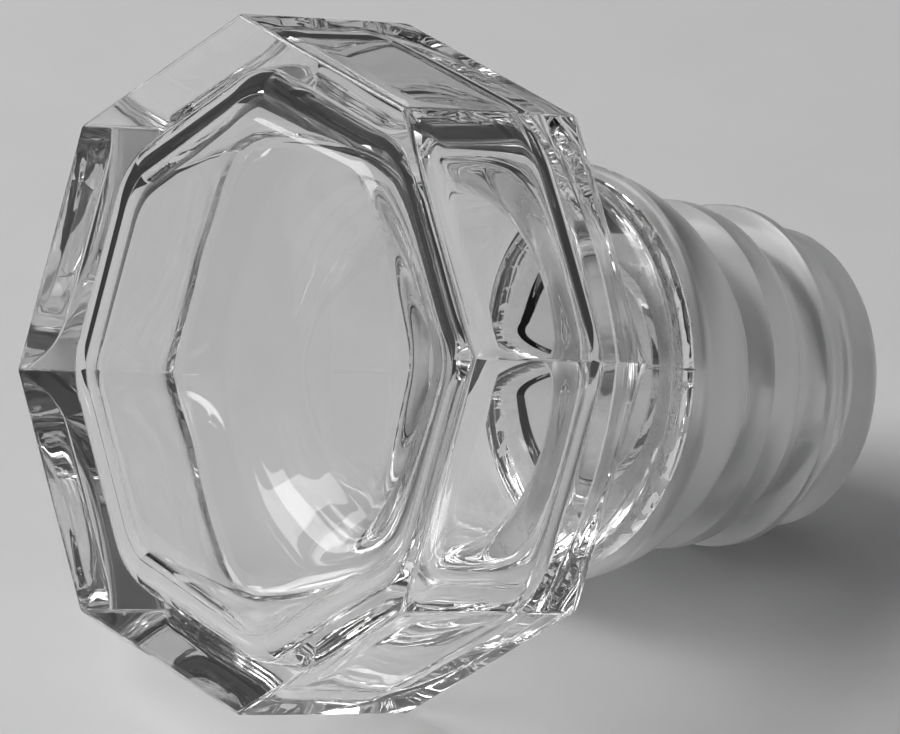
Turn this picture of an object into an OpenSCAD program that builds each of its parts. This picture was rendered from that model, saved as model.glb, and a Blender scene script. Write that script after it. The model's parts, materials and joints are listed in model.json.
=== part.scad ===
// Hollow octagonal glass stopper with a soft ribbed seal, lying on a flat surface.
// Each piece is laid out along the stopper's own axis: X runs from the front face of the
// head to the tip of the plug, and one flat of the head faces down. lie_down() then tips
// the pieces so that the head's rear rim and the tip of the seal rest on the surface.

/* [Head] */
// Width across the flats of the head
head_across = 48; // [45:0.5:56]
// Depth from the front face to the rear rim
head_depth = 17.8; // [15:0.1:24]
// Thickness of the glass behind the front face
front_wall = 1; // [0.8:0.1:3]
// Thickness of the glass behind each side flat
side_wall = 3; // [1.6:0.1:5]
// Thickness of the glass between the hollow and the rear rim
rear_wall = 3; // [1.5:0.1:4]
// Radius that rounds the edges of the hollow
hollow_round = 3.5; // [1.5:0.1:4]

/* [Neck] */
// Radius of the round neck
neck_r = 15.4; // [14.6:0.1:15.8]
// Distance from the rear rim to the end of the neck
neck_length = 14.8; // [12:0.1:18]
// Radius of the hollow curve that leads from the rear face into the neck
shoulder_round = 5; // [3:0.1:6]
// Radius of the bore through the neck
neck_bore_r = 10.6; // [9.5:0.1:11.2]
// Radius that rounds the mouth of the neck bore
mouth_round = 2; // [0.5:0.1:3]
// Length over which the neck bore narrows to the stem bore
bore_taper = 4; // [2:0.1:6]

/* [Stem] */
// Radius of the glass stem inside the seal
stem_r = 9.4; // [8.6:0.1:9.8]
// Length of the stem past the neck
stem_length = 20.6; // [18:0.1:23]
// Radius of the bore through the stem
stem_bore_r = 6.4; // [5:0.1:7]

/* [Seal] */
// Gap between the stem and the seal, on the radius
seal_clearance = 0.05; // [0.02:0.01:0.15]
// Gap between the end of the stem and the closed end of the seal
seal_end_gap = 0.3; // [0.1:0.1:1]
// Thickness of the closed end of the seal
seal_end = 1.8; // [1.4:0.1:3]
// Radius of the seal's body between the ribs
seal_body_r = 11.3; // [10.6:0.1:11.6]
// Radius of the bead where the seal meets the neck
bead_r = 16; // [15.6:0.1:17]
// Radius that rounds the front edge of the bead
bead_round = 0.6; // [0.3:0.1:1]
// Length of the bead, from the end of the neck to its foot
bead_length = 8.8; // [7.5:0.1:9]

/* [Ribs] */
// Radius of the front rib, which fits the bottle
front_rib_r = 13.5; // [12.8:0.1:14.5]
// Distance from the end of the neck to the front rib
front_rib_at = 9.6; // [9.4:0.1:10]
// Radius of the curved back of the front rib
front_rib_back = 4.4; // [3:0.1:4.8]
// Radius of the rear rib
rear_rib_r = 13.3; // [12.6:0.1:14.5]
// Distance from the end of the neck to the rear rib
rear_rib_at = 15.9; // [15.6:0.1:16.4]
// Width of the flat land on each rib
rib_land = 0.8; // [0.4:0.1:1]
// Length of each rib's steep flank
rib_flank = 0.6; // [0.3:0.1:0.7]

/* [Tip] */
// Radius of the tip of the seal
tip_r = 11.7; // [11.6:0.1:12.4]
// Radius that rounds the edge of the tip
tip_round = 0.8; // [0.4:0.1:1.2]

/* [Hidden] */
SIDES = 8;
HALF_SIDE = 180 / SIDES;
CUT = 1;
ARC_STEPS = 10;
$fn = 96;
head_apothem = head_across / 2;
hollow_rear = head_depth - rear_wall;
neck_end = head_depth + neck_length;
stem_end = neck_end + stem_length;
seal_end_x = stem_end + seal_end_gap;
tip_x = seal_end_x + seal_end;
tip_core_x = tip_x - tip_round;
tip_core_r = tip_r - tip_round;

// The surface touches the flat at the rear rim and the rounded edge of the tip
rise = head_apothem - tip_core_r;
run = tip_core_x - head_depth;
tilt = atan2(rise, run) - asin(tip_round / norm([rise, run]));
rest_height = head_depth * sin(tilt) + head_apothem * cos(tilt);
front_reach = -head_apothem * sin(tilt);
tip_reach = tip_core_x * cos(tilt) + tip_core_r * sin(tilt) + tip_round;

// Points of an arc round a centre, from one angle to another
function arc(centre, r, from, to) =
  [for (i = [0:ARC_STEPS]) let (a = from + (to - from) * i / ARC_STEPS) centre + r * [cos(a), sin(a)]];

// Turns a solid that was built along Z so that it runs along X
module along_x() {
  rotate([0, 90, 0]) children();
}

// Solid of revolution about X from an outline of [radius, distance along X]
module turned(outline) {
  along_x() rotate_extrude() polygon(outline);
}

// Tips the pieces onto the surface and centres them over the origin
module lie_down() {
  translate([-(front_reach + tip_reach) / 2, 0, rest_height]) rotate([0, tilt, 0]) children();
}

// Outside of the head, with flats facing up, down and to each side
module head() {
  along_x() linear_extrude(head_depth) rotate(HALF_SIDE)
    circle(r = head_apothem / cos(HALF_SIDE), $fn = SIDES);
}

// Outside of the shoulder, neck and stem
module neck_and_stem() {
  shoulder = neck_r + shoulder_round;
  turned(concat(
    [[0, head_depth - CUT], [shoulder, head_depth - CUT]],
    arc([shoulder, head_depth + shoulder_round], shoulder_round, 270, 180),
    [[neck_r, neck_end], [stem_r, neck_end], [stem_r, stem_end], [0, stem_end]]
  ));
}

// Hollow inside the head, with every edge rounded
module head_hollow() {
  corner_r = (head_apothem - side_wall - hollow_round) / cos(HALF_SIDE);
  hull()
    for (x = [front_wall + hollow_round, hollow_rear - hollow_round])
      for (side = [0:SIDES - 1])
        rotate([HALF_SIDE + side * 360 / SIDES, 0, 0])
          translate([x, 0, corner_r]) sphere(r = hollow_round, $fn = 32);
}

// Bore from the hollow through the neck and the stem
module bore() {
  mouth = neck_bore_r + mouth_round;
  turned(concat(
    [[0, hollow_rear - CUT], [mouth, hollow_rear - CUT]],
    arc([mouth, hollow_rear + mouth_round], mouth_round, 270, 180),
    [[neck_bore_r, neck_end - bore_taper], [stem_bore_r, neck_end]],
    [[stem_bore_r, stem_end + CUT], [0, stem_end + CUT]]
  ));
}

module glass_stopper() {
  color("gainsboro", 0.5) lie_down() difference() {
    union() {
      head();
      neck_and_stem();
    }
    head_hollow();
    bore();
  }
}

// Outline of the bead: a rounded front edge, then part of a ball centred on the axis
function bead_outline() =
  let (
    start = neck_end + bead_round,
    foot = neck_end + bead_length,
    centre = (foot + start - (pow(bead_r, 2) - pow(seal_body_r, 2)) / (foot - start)) / 2,
    ball_r = norm([bead_r, start - centre]),
    ball_from = atan2(start - centre, bead_r),
    ball_to = atan2(foot - centre, seal_body_r)
  )
  concat(
    arc([bead_r - bead_round, start], bead_round, -90, 0),
    arc([0, centre], ball_r, ball_from, ball_to)
  );

// Outline of the front rib: a steep front flank, a land and a back that curves down
function front_rib_outline() =
  let (
    land_from = neck_end + front_rib_at,
    land_to = land_from + rib_land,
    back_to = acos((front_rib_back - front_rib_r + seal_body_r) / front_rib_back)
  )
  concat(
    [[front_rib_r, land_from]],
    arc([front_rib_r - front_rib_back, land_to], front_rib_back, 0, back_to)
  );

// Outline of the rear rib, steep on both sides
function rear_rib_outline() =
  let (land_from = neck_end + rear_rib_at, land_to = land_from + rib_land)
  [[seal_body_r, land_from - rib_flank], [rear_rib_r, land_from],
   [rear_rib_r, land_to], [tip_r, land_to + rib_flank]];

module seal_sleeve() {
  bore_r = stem_r + seal_clearance;
  color("whitesmoke", 0.8) lie_down() turned(concat(
    [[bore_r, neck_end]],
    bead_outline(),
    front_rib_outline(),
    rear_rib_outline(),
    arc([tip_core_r, tip_core_x], tip_round, 0, 90),
    [[0, tip_x], [0, seal_end_x], [bore_r, seal_end_x]]
  ));
}

glass_stopper();
seal_sleeve();
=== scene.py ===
# %% [markdown]
# # A glass stopper with a plastic seal
# The stopper lies on its side on pale paper. It is two pieces: a hollow, eight-sided head of
# pressed glass with its neck and stem, and a milky plastic sleeve with soft ribs, pushed over the
# stem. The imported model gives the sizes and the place, and this lesson dresses it.

# %% Load the frame
import bmesh
import bpy
import json
import math
from mathutils import Matrix, Vector, noise


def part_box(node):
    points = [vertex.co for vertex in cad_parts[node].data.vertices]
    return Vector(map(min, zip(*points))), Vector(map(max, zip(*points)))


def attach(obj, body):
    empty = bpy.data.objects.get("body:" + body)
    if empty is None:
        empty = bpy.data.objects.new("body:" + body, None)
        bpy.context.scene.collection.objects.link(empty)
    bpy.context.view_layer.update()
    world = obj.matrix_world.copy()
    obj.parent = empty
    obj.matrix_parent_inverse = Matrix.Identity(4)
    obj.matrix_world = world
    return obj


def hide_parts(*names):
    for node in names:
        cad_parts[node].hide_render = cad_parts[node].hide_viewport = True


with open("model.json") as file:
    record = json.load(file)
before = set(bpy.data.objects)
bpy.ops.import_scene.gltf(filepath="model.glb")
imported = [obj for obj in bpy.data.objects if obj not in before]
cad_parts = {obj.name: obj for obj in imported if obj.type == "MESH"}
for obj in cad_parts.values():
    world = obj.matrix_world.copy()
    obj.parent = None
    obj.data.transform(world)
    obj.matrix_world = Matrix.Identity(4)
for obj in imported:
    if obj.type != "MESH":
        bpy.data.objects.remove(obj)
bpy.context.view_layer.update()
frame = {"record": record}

# %% [markdown]
# ## The stopper's own axis
# Glass is pressed and plastic is moulded round an axis, so both pieces are drawn in millimetres
# along it: x runs from the middle of the front face towards the tip, y lies across the head, and z
# points away from the facet that the head lies on. One matrix then lays them down where the
# model's front face is, and turns millimetres into metres.

# %% Lay-down matrix
MM = 0.001
front_face = next(m for m in frame["record"]["mounts"] if m["name"] == "front_face")
axis = -Vector(front_face["axis"]).normalized()
across = Vector((0, 1, 0))
LAY_DOWN = Matrix.Translation(front_face["pos_m"]) @ Matrix(
    (axis, across, axis.cross(across))).transposed().to_4x4() @ Matrix.Scale(MM, 4)
print("axis slopes down by", round(math.degrees(math.asin(-axis.z)), 2), "degrees")

# %% Sizes that both pieces share
glass_low, glass_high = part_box("glass_stopper")
HEAD_REACH = (glass_high.y - glass_low.y) / 2 / MM
HEAD_DEPTH = 17.8
NECK_R, NECK_LENGTH = 15.4, 14.8
STEM_R, STEM_LENGTH = 9.4, 20.6
NECK_END = HEAD_DEPTH + NECK_LENGTH
STEM_END = NECK_END + STEM_LENGTH
print("head is", round(2 * HEAD_REACH, 2), "mm across its flats")

# %% [markdown]
# ## Camera
# A long lens from the front left, looking down by 27 degrees, as on a copy stand. The directions
# are given along the stopper's axis and laid down with it.

# %% Camera
CAMERA_PLACE = (-410.2, -448.6, 169.7)
CAMERA_RIGHT = (0.743386, -0.617115, 0.257966)
CAMERA_UP = (-0.017207, 0.367906, 0.929704)
CAMERA_LENS, SENSOR_WIDTH, CAMERA_REACH = 341.64, 36, 50

scene = bpy.context.scene
camera = bpy.data.objects.new("camera", bpy.data.cameras.new("camera"))
scene.collection.objects.link(camera)
right, up = Vector(CAMERA_RIGHT), Vector(CAMERA_UP)
turn = Matrix((right, up, right.cross(up))).transposed().to_4x4()
turn = (LAY_DOWN.to_3x3() @ turn.to_3x3()).normalized().to_4x4()
camera.matrix_world = Matrix.Translation(LAY_DOWN @ Vector(CAMERA_PLACE)) @ turn
camera.data.lens, camera.data.sensor_width = CAMERA_LENS, SENSOR_WIDTH
camera.data.clip_end = CAMERA_REACH
scene.camera = camera
print("camera stands at", [round(v, 3) for v in camera.matrix_world.translation])

# %% [markdown]
# ## Light and paper
# Clear glass shows only its surroundings. It looks crisp when it stands on a small sheet of bright
# paper in a dark room, because its edges then mirror the dark and draw themselves as black lines.
# So the sheet ends just outside the view at the left and in front. Its far edge turns up by a tenth
# of a millimetre, and smooth shading spreads that turn over the whole sheet, which leans its
# shading a little towards the camera. One soft lamp stands high at the left, and a wide, dim one
# overhead softens the shadow.

# %% Shader helpers
def new_material(name):
    """An empty principled material, its tree and its shader."""
    material = bpy.data.materials.new(name)
    material.use_nodes = True
    tree = material.node_tree
    return material, tree, tree.nodes["Principled BSDF"]


def add_node(tree, kind, **settings):
    """A node with its settings made: an attribute's name, or an input's with spaces as _."""
    made = tree.nodes.new(kind)
    for key, value in settings.items():
        if hasattr(made, key):
            setattr(made, key, value)
        else:
            made.inputs[key.replace("_", " ")].default_value = value
    return made


def light_through(tree, shader, share):
    """Lets a share of the lamps' light through each skin, so that the shadow stays pale."""
    path = add_node(tree, "ShaderNodeLightPath")
    amount = add_node(tree, "ShaderNodeMath", operation="MULTIPLY")
    amount.inputs[1].default_value = share
    clear_skin = add_node(tree, "ShaderNodeBsdfTransparent")
    blend = add_node(tree, "ShaderNodeMixShader")
    tree.links.new(path.outputs["Is Shadow Ray"], amount.inputs[0])
    tree.links.new(amount.outputs[0], blend.inputs[0])
    tree.links.new(shader.outputs[0], blend.inputs[1])
    tree.links.new(clear_skin.outputs[0], blend.inputs[2])
    tree.links.new(blend.outputs[0], tree.nodes["Material Output"].inputs["Surface"])


NOISE_LOW, NOISE_HIGH = 0.3, 0.7


def varied(tree, size, low, high, detail=3.0):
    """A soft noise of a given size in metres, between two values, in the object's own space."""
    place = add_node(tree, "ShaderNodeTexCoord")
    noise_map = add_node(tree, "ShaderNodeTexNoise", Scale=1 / size, Detail=detail)
    spread = add_node(tree, "ShaderNodeMapRange", From_Min=NOISE_LOW, From_Max=NOISE_HIGH,
                      To_Min=low, To_Max=high)
    tree.links.new(place.outputs["Object"], noise_map.inputs["Vector"])
    tree.links.new(noise_map.outputs[0], spread.inputs["Value"])
    return spread.outputs[0]


print("helpers ready: new_material, add_node, light_through, varied")

# %% Paper
view_right = turn.to_3x3() @ Vector((1, 0, 0))
view_back = turn.to_3x3() @ Vector((0, 0, 1))
level_right = Vector((view_right.x, view_right.y, 0)).normalized()
level_back = Vector((view_back.x, view_back.y, 0)).normalized()
PAPER_TONE = 0.62
PAPER_LEFT, PAPER_RIGHT, PAPER_FRONT, PAPER_BEHIND = 0.08, 0.3, 0.08, 0.4
PAPER_PATCH, PAPER_VARIATION = 0.012, 0.008
EDGE_TURN = 0.0001
sheet_line = [(-PAPER_FRONT, 0), (PAPER_BEHIND - EDGE_TURN, 0), (PAPER_BEHIND, EDGE_TURN)]
sheet_points = [tuple(level_right * side - level_back * back + Vector((0, 0, height)))
                for back, height in sheet_line for side in (-PAPER_LEFT, PAPER_RIGHT)]
paper_mesh = bpy.data.meshes.new("paper")
paper_mesh.from_pydata(sheet_points, [], [
    (2 * k, 2 * k + 1, 2 * k + 3, 2 * k + 2) for k in range(len(sheet_line) - 1)])
paper_mesh.shade_smooth()
paper = bpy.data.objects.new("paper", paper_mesh)
scene.collection.objects.link(paper)
paper_material, paper_tree, paper_shader = new_material("pale_paper")
paper_colour = varied(paper_tree, PAPER_PATCH, PAPER_TONE - PAPER_VARIATION,
                      PAPER_TONE + PAPER_VARIATION)
paper_tree.links.new(paper_colour, paper_shader.inputs["Base Color"])
paper_shader.inputs["Roughness"].default_value = 0.9
paper_shader.inputs["Specular IOR Level"].default_value = 0.1
paper_mesh.materials.append(paper_material)
print("paper", round(PAPER_LEFT + PAPER_RIGHT, 2), "by", round(PAPER_FRONT + PAPER_BEHIND, 2), "m")

# %% World
ROOM_TONE = 0.04
world = bpy.data.worlds.new("dark_room")
scene.world = world
world.use_nodes = True
background = world.node_tree.nodes["Background"]
background.inputs["Color"].default_value = (ROOM_TONE, ROOM_TONE, ROOM_TONE, 1)
print("room tone", ROOM_TONE)

# %% Lamps
KEY_FROM, KEY_DISTANCE, KEY_SIZE, KEY_WATTS = (-1, -0.1, 1.05), 1.2, 0.9, 16.2
FILL_FROM, FILL_DISTANCE, FILL_SIZE, FILL_WATTS = (0.2, 0.2, 1), 1.5, 1.2, 2


def soft_lamp(name, from_side, distance, size, watts):
    """A square lamp that looks at the stopper, from so far right, towards the camera and up."""
    data = bpy.data.lights.new(name, "AREA")
    data.size, data.energy = size, watts
    lamp = bpy.data.objects.new(name, data)
    scene.collection.objects.link(lamp)
    side, near, height = from_side
    towards = (level_right * side + level_back * near + Vector((0, 0, height))).normalized()
    lamp.location = towards * distance
    lamp.rotation_euler = towards.to_track_quat("Z", "Y").to_euler()
    return lamp


key = soft_lamp("key", KEY_FROM, KEY_DISTANCE, KEY_SIZE, KEY_WATTS)
fill = soft_lamp("fill", FILL_FROM, FILL_DISTANCE, FILL_SIZE, FILL_WATTS)
for lamp in (key, fill):
    print(lamp.name, "lamp at", [round(v, 2) for v in lamp.location])

# %% [markdown]
# ## Glass piece
# The stopper is one skin of glass, outside and inside, so it is lofted as one closed surface.
# A profile walks from the middle of the front face over the head, the shoulder, the neck and the
# stem, turns in at the end of the stem, and comes back through the bore and the hollow. At each
# step of the walk a ring of points is set: an octagon with rounded corners on the head, which
# melts into a circle at the neck. This keeps every facet flat and every edge softly rounded, which
# a boolean cut can't do, and it is what makes the refraction read as real pressed glass.

# %% Rings and profiles
SIDES = 8
SIDE_ANGLE = 2 * math.pi / SIDES
FLAT_STEPS, CORNER_STEPS, ARC_STEPS = 14, 10, 12
# The most of a ring's reach, or of a profile's edge, that a rounding may take up
CORNER_LIMIT, EDGE_LIMIT = 0.98, 0.49
# Points on a profile's edge are this far apart, with one more close to each end
POINT_STEP, END_STOP = 1.2, 0.04
SEAM_CORNERS, SEAM_POWER = (3, 7), 4


def octagon_ring(reach, roundings, circle, seam=0):
    """Points (y, z) round the axis, reach from it to each flat. Each corner has its own rounding,
    circle runs from 0, an octagon, to 1, a circle, and seam is the height of the mould's line."""
    corners = []
    for corner in range(SIDES):
        start = corner * SIDE_ANGLE
        r = min(roundings[corner], CORNER_LIMIT * reach)
        centre = (reach - r) / math.cos(SIDE_ANGLE / 2)
        middle = start + SIDE_ANGLE / 2
        corners.append([
            (centre * math.cos(middle) + r * math.cos(start + SIDE_ANGLE * k / CORNER_STEPS),
             centre * math.sin(middle) + r * math.sin(start + SIDE_ANGLE * k / CORNER_STEPS))
            for k in range(CORNER_STEPS + 1)])
    ring = []
    for corner, bend in enumerate(corners):
        (y0, z0), (y1, z1) = bend[-1], corners[(corner + 1) % SIDES][0]
        height = seam if corner in SEAM_CORNERS else 0
        for k, (y, z) in enumerate(bend):
            ring.append((y, z, height * math.sin(math.pi * k / CORNER_STEPS) ** SEAM_POWER))
        ring += [(y0 + (y1 - y0) * k / FLAT_STEPS, z0 + (z1 - z0) * k / FLAT_STEPS, 0)
                 for k in range(1, FLAT_STEPS)]
    points = []
    for y, z, ridge in ring:
        stretch = 1 - circle + circle * reach / math.hypot(y, z) + ridge / reach
        points.append((y * stretch, z * stretch))
    return points


def eased(share):
    """A share from 0 to 1 that starts and ends gently."""
    return share * (share * (3 - 2 * share))


def rounded(corners):
    """A profile through corners, each (r, x, rounding), as points (r, x)."""
    line = [Vector(corners[0][:2])]
    for before, (r, x, rounding), after in zip(corners, corners[1:], corners[2:]):
        here = Vector((r, x))
        back, on = Vector(before[:2]) - here, Vector(after[:2]) - here
        angle = back.angle(on)
        reach = min(rounding / math.tan(angle / 2), EDGE_LIMIT * back.length,
                    EDGE_LIMIT * on.length)
        radius = reach * math.tan(angle / 2)
        middle = here + (back.normalized() + on.normalized()).normalized() * (
            radius / math.sin(angle / 2))
        start, end = here + back.normalized() * reach, here + on.normalized() * reach
        a0 = math.atan2(*(start - middle).yx)
        turn_by = (math.atan2(*(end - middle).yx) - a0 + math.pi) % (2 * math.pi) - math.pi
        line += [middle + radius * Vector((math.cos(a0 + turn_by * k / ARC_STEPS),
                                           math.sin(a0 + turn_by * k / ARC_STEPS)))
                 for k in range(ARC_STEPS + 1)]
    return [*line, Vector(corners[-1][:2])]


def filled(line, guide=None):
    """The line with points added along its edges, as many as the guide line needs."""
    guide = guide or line
    points = [line[0]]
    for start, end, g0, g1 in zip(line, line[1:], guide, guide[1:]):
        steps = max(1, math.ceil((g1 - g0).length / POINT_STEP))
        stops = [k / steps for k in range(1, steps + 1)]
        if steps > 1:
            stops = [END_STOP, *stops[:-1], 1 - END_STOP, 1]
        points += [start.lerp(end, s) for s in stops]
    return points


print("a ring has", SIDES * (FLAT_STEPS + CORNER_STEPS), "points")

# %% [markdown]
# ### The hollow
# The hollow of a pressed head isn't quite true: it reaches deeper on one side of the head, and its
# front and rear edges are rounded differently there. Two profiles describe the two sides, and each
# point of the inner skin lies between them. Slow waves of a few hundredths of a millimetre run
# over the inner skin, as pressed glass has, and fainter ones over the outer skin.

# %% Glass sizes
EDGE_ROUND, REAR_ROUND, NECK_ROUND, STEM_ROUND = 0.35, 1.3, 1.0, 0.1
SHOULDER_ROUND = 5
# Each profile starts or ends at a small ring round the axis, which one fan of faces closes
CENTRE_R = 0.3
# The outer and inner profiles meet in the stem's bore, this far in and this far apart
MEETING, MEETING_GAP = 1, 0.01
BORE_R, STEM_BORE_R, BORE_END = 11.6, 8.4, 32.2
STEM_MOUTH_ROUND, BORE_ROUND = 0.5, 1
FRONT_WALL, SHALLOW_FRONT_FILLET, DEEP_FRONT_FILLET = 1.0, 6, 3.5
FRONT_REACH, REAR_REACH = 20.5, 21.5
SHALLOW_DEPTH, SHALLOW_FILLET, SHALLOW_SLOPE = 13.2, 1.5, 1.0
DEEP_DEPTH, DEEP_FILLET, DEEP_SLOPE = 16.0, 3.5, 0.3
DEEP_SIDE = math.radians(157.5)
FUNNEL_R, FUNNEL_FILLET = 12.4, 4

outside = filled(rounded([
    (CENTRE_R, 0, 0), (HEAD_REACH, 0, EDGE_ROUND), (HEAD_REACH, HEAD_DEPTH, REAR_ROUND),
    (NECK_R, HEAD_DEPTH, SHOULDER_ROUND), (NECK_R, NECK_END, NECK_ROUND),
    (STEM_R, NECK_END, STEM_ROUND), (STEM_R, STEM_END, STEM_ROUND),
    (STEM_BORE_R, STEM_END, STEM_ROUND), (STEM_BORE_R, STEM_END - MEETING, 0)]))


def hollow_line(depth, fillet, slope, front_fillet):
    """The profile of the bore and the hollow, from the stem to the front, for one side."""
    return rounded([
        (STEM_BORE_R, STEM_END - (MEETING + MEETING_GAP), 0),
        (STEM_BORE_R, NECK_END, STEM_MOUTH_ROUND), (BORE_R, BORE_END, BORE_ROUND),
        (FUNNEL_R, depth + slope, FUNNEL_FILLET), (REAR_REACH, depth, fillet),
        (FRONT_REACH, FRONT_WALL, front_fillet), (CENTRE_R, FRONT_WALL, 0)])


shallow_line = hollow_line(SHALLOW_DEPTH, SHALLOW_FILLET, SHALLOW_SLOPE, SHALLOW_FRONT_FILLET)
deep_line = hollow_line(DEEP_DEPTH, DEEP_FILLET, DEEP_SLOPE, DEEP_FRONT_FILLET)
shallow, deep = filled(shallow_line), filled(deep_line, shallow_line)
print("profile points outside and inside:", len(outside), len(shallow))

# %% Shape of a ring
# Where the octagon is whole, and where it has become a circle, outside and inside
OUTER_BLEND, INNER_BLEND = (HEAD_REACH - 1, 17), (REAR_REACH - 0.1, 14)
# Roundings of the octagon's corners, which take turns, outside and inside
OUTER_CORNERS, INNER_CORNERS = (0.6, 0.3), (7, 6)
# Corners grow tighter over this distance, down to this share of their rounding
TIGHTEN_OVER, LEAST_CORNER = 14, 0.1


def ring_shape(r, x, full_reach, circle_reach, corners):
    """Roundings and circle of a ring: behind the middle of the head the octagon turns into a
    circle as the profile comes in from full_reach to circle_reach."""
    circle = 0
    if x > HEAD_DEPTH / 2:
        circle = eased(min(max((full_reach - r) / (full_reach - circle_reach), 0), 1))
    shrink = max(LEAST_CORNER, 1 - max(full_reach - r, 0) / TIGHTEN_OVER)
    return [corners[k % 2] * shrink for k in range(SIDES)], circle


print("outside is an octagon to", round(OUTER_BLEND[0], 2), "and a circle from", OUTER_BLEND[1])

# %% Outer skin
# A tight corner gathers points, so that the mould's line on the neck is narrow
SEAM_HEIGHT, SEAM_CORNER = 0.05, 0.7
SEAM_FROM_R, SKIN_FROM_R = STEM_R + 1, STEM_R + 0.2
# Grain on the neck's end face: its depth, middle radius, half width and fineness, then the slice
# of the noise that it comes from and the fractal's terms
END_GRAIN, GRAIN_R, GRAIN_BAND, GRAIN_FINENESS = 0.2, 14.0, 0.7, 2.6
GRAIN_SLICE, GRAIN_TERMS = 4.7, (0.6, 2, 4)
# Waves in the skins: their heights and lengths, held back near the axis
SKIN_WAVE, SKIN_WAVE_LENGTH = 0.012, 5
WAVE, WAVE_LENGTH = 0.03, 7
WAVE_HOLD_R = 5
SAME_PLACE = 1e-3


def grain_at(y, z):
    """How deep the grain is at a point of the neck's end face, for a depth of 1."""
    place = Vector((y * GRAIN_FINENESS, z * GRAIN_FINENESS, GRAIN_SLICE))
    return max(0, noise.fractal(place, *GRAIN_TERMS))


rings = []
for r, x in outside:
    roundings, circle = ring_shape(r, x, *OUTER_BLEND, OUTER_CORNERS)
    if circle == 1:
        for corner in SEAM_CORNERS:
            roundings[corner] = SEAM_CORNER
    has_seam = circle == 1 and r > SEAM_FROM_R
    ring = octagon_ring(r, roundings, circle, SEAM_HEIGHT if has_seam else 0)
    if abs(x - NECK_END) < SAME_PLACE and SKIN_FROM_R < r < NECK_R - NECK_ROUND:
        band = math.exp(-((r - GRAIN_R) / GRAIN_BAND) ** 2)
        rings.append([(x - END_GRAIN * (band * grain_at(y, z)), y, z) for y, z in ring])
        continue
    skin = []
    for y, z in ring:
        dip = 0
        if r > SKIN_FROM_R:
            dip = SKIN_WAVE * (noise.noise(Vector((x, y, z)) / SKIN_WAVE_LENGTH) - 1)
        shrink = 1 + dip / max(math.hypot(y, z), WAVE_HOLD_R)
        skin.append((x - (dip if x < EDGE_ROUND else 0), y * shrink, z * shrink))
    rings.append(skin)
print("outer skin has", len(rings), "rings")

# %% Inner skin
for shallow_point, deep_point in zip(shallow, deep):
    pair = [octagon_ring(r, *ring_shape(r, x, *INNER_BLEND, INNER_CORNERS))
            for r, x in (shallow_point, deep_point)]
    ring = []
    for (y0, z0), (y1, z1) in zip(*pair):
        share = eased((1 + math.cos(math.atan2(z0, y0) - DEEP_SIDE)) / 2)
        x = shallow_point.y + (deep_point.y - shallow_point.y) * share
        y, z = y0 + (y1 - y0) * share, z0 + (z1 - z0) * share
        outwards = WAVE * noise.noise(Vector((x, y, z)) / WAVE_LENGTH)
        wave = 1 + outwards / max(math.hypot(y, z), WAVE_HOLD_R)
        lengthways = WAVE * noise.noise(Vector((y, z, x)) / WAVE_LENGTH)
        ring.append((x + lengthways, y * wave, z * wave))
    rings.append(ring)
print("both skins have", len(rings), "rings")

# %% Loft the glass
GLASS_SMOOTH, SLEEVE_SMOOTH = 30, 40
WELD_REACH = 2e-4
count = len(rings[0])
points = [point for ring in rings for point in ring]
faces = []
for j in range(len(rings) - 1):
    for i in range(count):
        a, b = j * count + i, j * count + (i + 1) % count
        faces.append((a, a + count, b + count, b))
points += [(0, 0, 0), (FRONT_WALL, 0, 0)]
last = (len(rings) - 1) * count
for i in range(count):
    faces.append((len(points) - 2, i, (i + 1) % count))
    faces.append((len(points) - 1, last + (i + 1) % count, last + i))


def closed_piece(name, points, faces, smooth_below):
    """A closed mesh object, laid down, with merged doubles and faces outwards. Edges that turn
    by more than smooth_below degrees stay sharp."""
    mesh = bpy.data.meshes.new(name)
    mesh.from_pydata(points, [], faces)
    shell = bmesh.new()
    shell.from_mesh(mesh)
    bmesh.ops.remove_doubles(shell, verts=shell.verts, dist=WELD_REACH)
    bmesh.ops.recalc_face_normals(shell, faces=shell.faces)
    open_edges = sum(not edge.is_manifold for edge in shell.edges)
    shell.to_mesh(mesh)
    shell.free()
    mesh.transform(LAY_DOWN)
    mesh.shade_smooth()
    mesh.set_sharp_from_angle(angle=math.radians(smooth_below))
    made = bpy.data.objects.new(name, mesh)
    scene.collection.objects.link(made)
    print(name, len(mesh.polygons), "faces,", open_edges, "open edges")
    return made


glass = closed_piece("stopper_glass", points, faces, GLASS_SMOOTH)

# %% [markdown]
# ## Clear glass
# Pressed glass is colourless, with fire-polished skin that is never quite flat: the mould leaves
# slow waves that bend what is seen through it. Those are in the mesh, so the material adds only
# the faintest change of tone, and lets a share of the lamps' light through to the paper.

# %% Clear glass material
GLASS_PATCH, GLASS_PALEST, GLASS_DEEPEST, GLASS_DETAIL = 0.009, 1, 0.985, 0.0
GLASS_LIGHT_SHARE = 0.66
clear, clear_tree, clear_shader = new_material("clear_pressed_glass")
clear_colour = varied(clear_tree, GLASS_PATCH, GLASS_DEEPEST, GLASS_PALEST, GLASS_DETAIL)
clear_tree.links.new(clear_colour, clear_shader.inputs["Base Color"])
clear_shader.inputs["Roughness"].default_value = 0
clear_shader.inputs["Transmission Weight"].default_value = 1
clear_shader.inputs["IOR"].default_value = 1.5
light_through(clear_tree, clear_shader, GLASS_LIGHT_SHARE)
glass.data.materials.append(clear)
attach(glass, "root")
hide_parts("glass_stopper")
print("glass lets", GLASS_LIGHT_SHARE, "of the lamps' light through each skin")

# %% [markdown]
# ## Plastic sleeve
# The seal is a soft, milky sleeve: a domed bead against the neck, two ribs that give way in a
# bottle's mouth, and a rounded tip. It is round, so its shape is one profile turned about the
# axis. Geometry Nodes does the turning: each point of a grid samples the profile along its length
# and swings round by its own angle.

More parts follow.
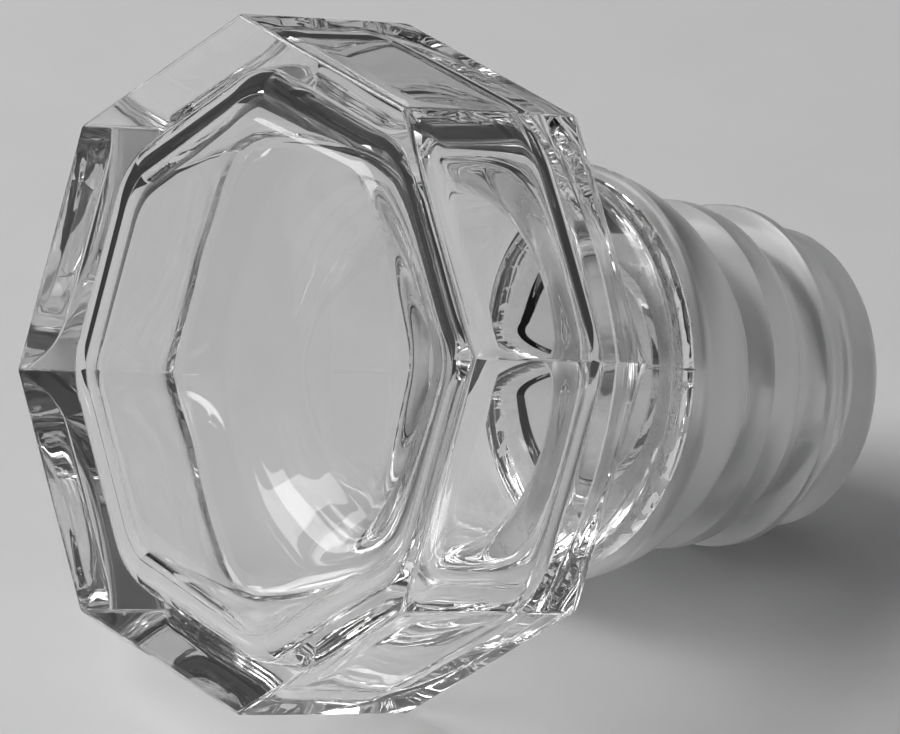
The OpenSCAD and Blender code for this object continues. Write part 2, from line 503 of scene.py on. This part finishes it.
# %% Sleeve profile
SLEEVE_CLEARANCE, END_GAP, CLOSED_END = 0.05, 0.3, 1.8
SLEEVE_BORE_R, SLEEVE_BODY_R = STEM_R + SLEEVE_CLEARANCE, 11.3
BEAD_R, BEAD_LENGTH, BEAD_ROUND, BALL_STEPS = 16, 8.8, 0.6, 24
FRONT_RIB_R, FRONT_RIB_AT, FRONT_RIB_BACK = 13.5, 9.6, 4.4
REAR_RIB_R, REAR_RIB_AT = 13.3, 15.9
RIB_LAND, RIB_FLANK = 0.8, 0.6
TIP_R, TIP_ROUND = 11.7, 0.8
SLEEVE_BORE_END = STEM_END + END_GAP
TIP_END = SLEEVE_BORE_END + CLOSED_END


def arc(x, r, radius, start, end, steps=ARC_STEPS):
    """Points (r, x) on an arc about (x, r), angles in degrees from outwards towards the tip."""
    turns = [math.radians(start + (end - start) * k / steps) for k in range(steps + 1)]
    return [(r + radius * math.cos(t), x + radius * math.sin(t)) for t in turns]


bead_start, bead_foot = NECK_END + BEAD_ROUND, NECK_END + BEAD_LENGTH
ball_x = (bead_foot + bead_start
          - (BEAD_R ** 2 - SLEEVE_BODY_R ** 2) / (bead_foot - bead_start)) / 2
ball_r = math.hypot(BEAD_R, bead_start - ball_x)
ball_from = math.degrees(math.atan2(bead_start - ball_x, BEAD_R))
ball_to = math.degrees(math.atan2(bead_foot - ball_x, SLEEVE_BODY_R))
rib_land_end = NECK_END + FRONT_RIB_AT + RIB_LAND
rib_back_rise = (FRONT_RIB_BACK - FRONT_RIB_R + SLEEVE_BODY_R) / FRONT_RIB_BACK
rib_back_to = math.degrees(math.acos(rib_back_rise))
rear_land = NECK_END + REAR_RIB_AT
sleeve_profile = [
    (SLEEVE_BORE_R, NECK_END),
    *arc(bead_start, BEAD_R - BEAD_ROUND, BEAD_ROUND, -90, 0),
    *arc(ball_x, 0, ball_r, ball_from, ball_to, BALL_STEPS),
    (FRONT_RIB_R, NECK_END + FRONT_RIB_AT),
    *arc(rib_land_end, FRONT_RIB_R - FRONT_RIB_BACK, FRONT_RIB_BACK, 0, rib_back_to),
    (SLEEVE_BODY_R, rear_land - RIB_FLANK), (REAR_RIB_R, rear_land),
    (REAR_RIB_R, rear_land + RIB_LAND), (TIP_R, rear_land + RIB_LAND + RIB_FLANK),
    *arc(TIP_END - TIP_ROUND, TIP_R - TIP_ROUND, TIP_ROUND, 0, 90),
    (0, TIP_END), (0, SLEEVE_BORE_END), (SLEEVE_BORE_R, SLEEVE_BORE_END),
    (SLEEVE_BORE_R, NECK_END)]
print("sleeve profile has", len(sleeve_profile), "points")

# %% Turning tree
PROFILE_STEPS, TURN_STEPS, TURN_WELD = 420, 144, 0.002
turning = bpy.data.node_groups.new("turned_on_axis", "GeometryNodeTree")
add_socket = turning.interface.new_socket
add_socket("Geometry", in_out="INPUT", socket_type="NodeSocketGeometry")
for name, value in (("Profile Steps", PROFILE_STEPS), ("Turn Steps", TURN_STEPS)):
    add_socket(name, in_out="INPUT", socket_type="NodeSocketInt").default_value = value
add_socket("Finish", in_out="INPUT", socket_type="NodeSocketMaterial")
add_socket("Geometry", in_out="OUTPUT", socket_type="NodeSocketGeometry")


def chain(kind, *links, **settings):
    """A node of the turning tree, with (input, source) links."""
    made = add_node(turning, kind, **settings)
    for name, source in links:
        turning.links.new(source, made.inputs[name])
    return made


given = chain("NodeGroupInput")
profile = chain("GeometryNodeMeshToCurve", ("Mesh", given.outputs["Geometry"]))
grid = chain("GeometryNodeMeshGrid", ("Vertices X", given.outputs["Profile Steps"]),
             ("Vertices Y", given.outputs["Turn Steps"]), Size_X=1, Size_Y=1)
place = chain("ShaderNodeSeparateXYZ", (0, chain("GeometryNodeInputPosition").outputs[0]))
along = chain("ShaderNodeMath", (0, place.outputs["X"]), operation="ADD")
along.inputs[1].default_value = 0.5
angle = chain("ShaderNodeMath", (0, place.outputs["Y"]), operation="MULTIPLY")
angle.inputs[1].default_value = 2 * math.pi
sample = chain("GeometryNodeSampleCurve", ("Curves", profile.outputs[0]),
               ("Factor", along.outputs[0]), mode="FACTOR")
swing = chain("ShaderNodeVectorRotate", ("Vector", sample.outputs["Position"]),
              ("Angle", angle.outputs[0]), rotation_type="X_AXIS")
turned = chain("GeometryNodeSetPosition", ("Geometry", grid.outputs["Mesh"]),
               ("Position", swing.outputs[0]))
merged = chain("GeometryNodeMergeByDistance", ("Geometry", turned.outputs[0]),
               Distance=TURN_WELD)
real = chain("GeometryNodeRealizeInstances", ("Geometry", merged.outputs[0]))
finished = chain("GeometryNodeSetMaterial", ("Geometry", real.outputs[0]),
                 ("Material", given.outputs["Finish"]))
chain("NodeGroupOutput", ("Geometry", finished.outputs[0]))
print("turning tree has", len(turning.nodes), "nodes")

# %% [markdown]
# ## Milky plastic
# Soft polyethylene lets light in and scatters it, so the sleeve takes the tone of the paper behind
# it and shows only faint, blurred shading, with a satin skin.

# %% Milky plastic material
CLOUD, CLOUD_DARKEST, CLOUD_PALEST = 0.006, 0.915, 0.94
SATIN_PATCH, SATIN_SMOOTHEST, SATIN_ROUGHEST, SATIN_DETAIL = 0.008, 0.275, 0.295, 1.0
SLEEVE_LIGHT_SHARE = 0.2
milky, milky_tree, milky_shader = new_material("milky_plastic")
milky_colour = varied(milky_tree, CLOUD, CLOUD_DARKEST, CLOUD_PALEST)
milky_tree.links.new(milky_colour, milky_shader.inputs["Base Color"])
satin = varied(milky_tree, SATIN_PATCH, SATIN_SMOOTHEST, SATIN_ROUGHEST, SATIN_DETAIL)
milky_tree.links.new(satin, milky_shader.inputs["Roughness"])
milky_shader.inputs["Transmission Weight"].default_value = 0.93
milky_shader.inputs["IOR"].default_value = 1.4
milky_shader.inputs["Subsurface Weight"].default_value = 0
light_through(milky_tree, milky_shader, SLEEVE_LIGHT_SHARE)
print("sleeve lets", SLEEVE_LIGHT_SHARE, "of the lamps' light through each skin")

# %% Turn the sleeve
line_mesh = bpy.data.meshes.new("sleeve_line")
line_mesh.from_pydata([(x, 0, r) for r, x in sleeve_profile], [
    (k, k + 1) for k in range(len(sleeve_profile) - 1)], [])
raw = bpy.data.objects.new("sleeve_line", line_mesh)
scene.collection.objects.link(raw)
lathe = raw.modifiers.new("turning", "NODES")
lathe.node_group = turning
sockets = {item.name: item.identifier for item in turning.interface.items_tree
           if item.in_out == "INPUT"}
lathe[sockets["Profile Steps"]] = PROFILE_STEPS
lathe[sockets["Turn Steps"]] = TURN_STEPS
lathe[sockets["Finish"]] = milky
bpy.context.view_layer.update()
sleeve_mesh = bpy.data.meshes.new_from_object(
    raw.evaluated_get(bpy.context.evaluated_depsgraph_get()))
bpy.data.objects.remove(raw)
print("turned sleeve has", len(sleeve_mesh.vertices), "points")

# %% Seam on the sleeve
SEAM_RIDGE, SEAM_WIDTH = 0.012, 0.6
OUTER_FROM_R = SLEEVE_BODY_R - 0.1
sleeve_points = []
for x, y, z in (v.co for v in sleeve_mesh.vertices):
    outer = math.hypot(y, z) > OUTER_FROM_R
    lift = SEAM_RIDGE * math.exp(-(z / SEAM_WIDTH) ** 2) if outer else 0
    sleeve_points.append((x, y + math.copysign(lift, y), z))
sleeve = closed_piece("seal_plastic", sleeve_points,
                      [p.vertices[:] for p in sleeve_mesh.polygons], SLEEVE_SMOOTH)
sleeve.data.materials.append(milky)
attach(sleeve, "root")
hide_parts("seal_sleeve")

# %% [markdown]
# ## View settings and the finish
# Light takes many turns inside clear glass before it comes out, so the paths may be long.

# %% Finish
scene.view_settings.view_transform = "Standard"
scene.cycles.max_bounces = 18
scene.cycles.transmission_bounces = 18
scene.cycles.glossy_bounces = 12
